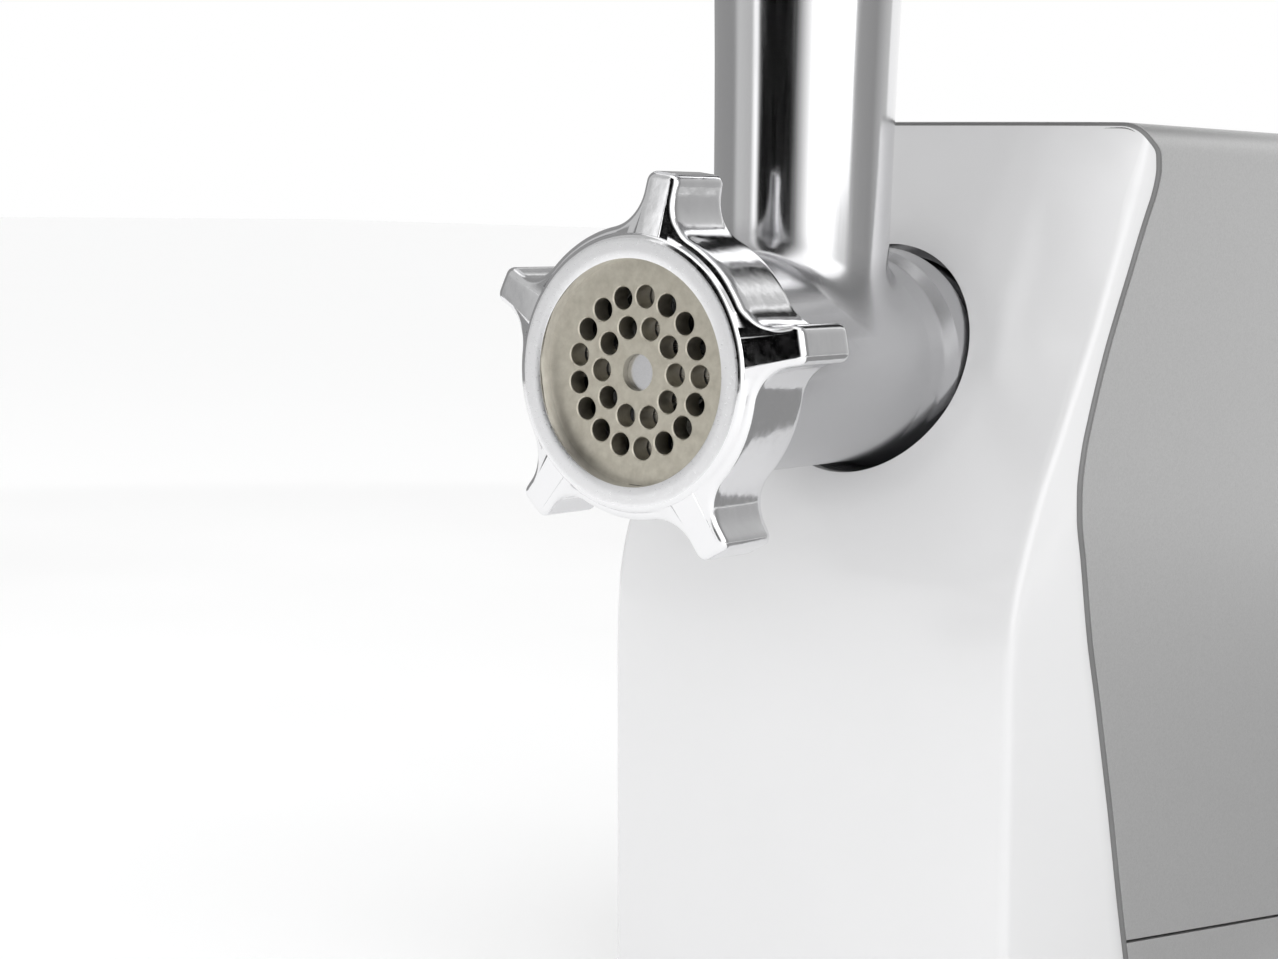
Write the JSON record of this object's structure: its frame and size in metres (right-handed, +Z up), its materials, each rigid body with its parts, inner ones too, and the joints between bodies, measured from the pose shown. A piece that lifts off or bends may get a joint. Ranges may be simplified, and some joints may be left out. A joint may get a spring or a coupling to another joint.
{
  "type": "electric meat grinder",
  "caption": "Household electric meat grinder: a motor and gear train turn an auger in a horizontal barrel, which pushes meat from the feed tube past a knife and out through a hole plate.",
  "frame": {"origin": "centre of the footprint, on the worktop under the feet", "axes": "+Z up, -Y the way the barrel points, +X to the right seen from the front"},
  "size_m": [0.19, 0.2502, 0.353],
  "materials": {
    "cast_aluminium": "satin",
    "polished_cast": "polished",
    "plate_steel": "satin",
    "tool_steel": "ground",
    "tray_steel": "brushed",
    "white_plastic": "gloss",
    "silver_paint": "satin metallic paint",
    "grey_trim": "satin",
    "black_plastic": "satin",
    "rubber": "matt",
    "nylon": "satin",
    "gear_nylon": "satin",
    "gearbox_plastic": "satin",
    "laminated_steel": "dull",
    "enamelled_copper": "varnished",
    "copper": "turned",
    "bearing_steel": "ground",
    "zinc_steel": "zinc plated",
    "carbon": "dull",
    "board_green": "satin",
    "blue_shell": "satin"
  },
  "bodies": {
    "housing": {"front_cover": "white_plastic", "trim_strip": "grey_trim", "silver_wrap": "silver_paint", "base_pan": "silver_paint", "rear_cover": "white_plastic", "rubber_feet": "rubber", "base_screws": "zinc_steel", "head_socket": "black_plastic", "latch_spring": "bearing_steel", "switch_bezel": "grey_trim", "switch_body": "black_plastic", "gearbox_case": "gearbox_plastic", "gearbox_lid": "gearbox_plastic", "wheel_b_pin": "bearing_steel", "wheel_a_pin": "bearing_steel", "output_bush": "copper", "gearbox_screws": "zinc_steel", "stator_core": "laminated_steel", "field_coils": "enamelled_copper", "front_bracket": "zinc_steel", "rear_bracket": "zinc_steel", "front_bearing": "bearing_steel", "rear_bearing": "bearing_steel", "brushes": "carbon", "brush_holders": "copper", "motor_mounts": "rubber", "circuit_board": "board_green", "capacitor": "blue_shell", "relay": "black_plastic", "cord_inlet": "black_plastic"},
    "drive": {"auger": "cast_aluminium", "auger_washer": "nylon", "cross_knife": "tool_steel", "output_gear": "gear_nylon", "drive_insert": "zinc_steel"},
    "wheel_b": {"compound_gear_b": "gear_nylon"},
    "wheel_a": {"compound_gear_a": "gear_nylon"},
    "rotor": {"motor_pinion": "bearing_steel", "rotor_core": "laminated_steel", "rotor_windings": "enamelled_copper", "rotor_shaft": "bearing_steel", "commutator": "copper", "motor_fan": "black_plastic"},
    "head": {"head_casting": "cast_aluminium", "plate_key_pin": "tool_steel"},
    "plate": {"hole_plate": "plate_steel"},
    "nut": {"ring_nut": "polished_cast"},
    "tray": {"food_tray": "tray_steel"},
    "pusher": {"pusher": "white_plastic", "pusher_cap": "white_plastic"},
    "release": {"latch_yoke": "zinc_steel", "release_button": "grey_trim"},
    "rocker": {"rocker": "black_plastic"}
  },
  "joints": [
    {"name": "auger_spin", "type": "hinge", "parent": "housing", "child": "drive", "pos_m": [0, -0.03, 0.175], "axis": [0, 1, 0], "continuous": true},
    {"name": "wheel_b_spin", "type": "hinge", "parent": "housing", "child": "wheel_b", "pos_m": [0.01199, 0.005, 0.12389], "axis": [0, 1, 0], "continuous": true},
    {"name": "wheel_a_spin", "type": "hinge", "parent": "housing", "child": "wheel_a", "pos_m": [-0.003, 0.03, 0.08546], "axis": [0, 1, 0], "continuous": true},
    {"name": "rotor_spin", "type": "hinge", "parent": "housing", "child": "rotor", "pos_m": [0.00498, 0.07, 0.05035], "axis": [0, 1, 0], "continuous": true},
    {"name": "head_twist", "type": "hinge", "parent": "housing", "child": "head", "pos_m": [0, -0.02, 0.175], "axis": [0, -1, 0], "range_deg": [0, 45]},
    {"name": "plate_slide", "type": "slide", "parent": "head", "child": "plate", "axis": [0, -1, 0], "range_m": [0, 0.01275]},
    {"name": "nut_turn", "type": "hinge", "parent": "plate", "child": "nut", "pos_m": [0, -0.115, 0.175], "axis": [0, -1, 0], "range_deg": [0, 1530]},
    {"name": "tray_lift", "type": "slide", "parent": "head", "child": "tray", "axis": [0, 0, 1], "range_m": [0, 0.03]},
    {"name": "pusher_slide", "type": "slide", "parent": "tray", "child": "pusher", "axis": [0, 0, 1], "range_m": [0, 0.11]},
    {"name": "release_press", "type": "slide", "parent": "housing", "child": "release", "axis": [1, 0, 0], "range_m": [0, 0.005], "stiffness_N_per_m": 900, "springref_m": -0.001},
    {"name": "rocker_tilt", "type": "hinge", "parent": "housing", "child": "rocker", "pos_m": [-0.057, 0.04, 0.125], "axis": [0, 1, 0], "range_deg": [-9, 9]}
  ],
  "couplings": [
    {"joint": "wheel_b_spin", "follows": "auger_spin", "ratio": -4},
    {"joint": "wheel_a_spin", "follows": "auger_spin", "ratio": 18},
    {"joint": "rotor_spin", "follows": "auger_spin", "ratio": -90},
    {"joint": "plate_slide", "follows": "nut_turn", "m_per_rad": 0.00047746}
  ]
}
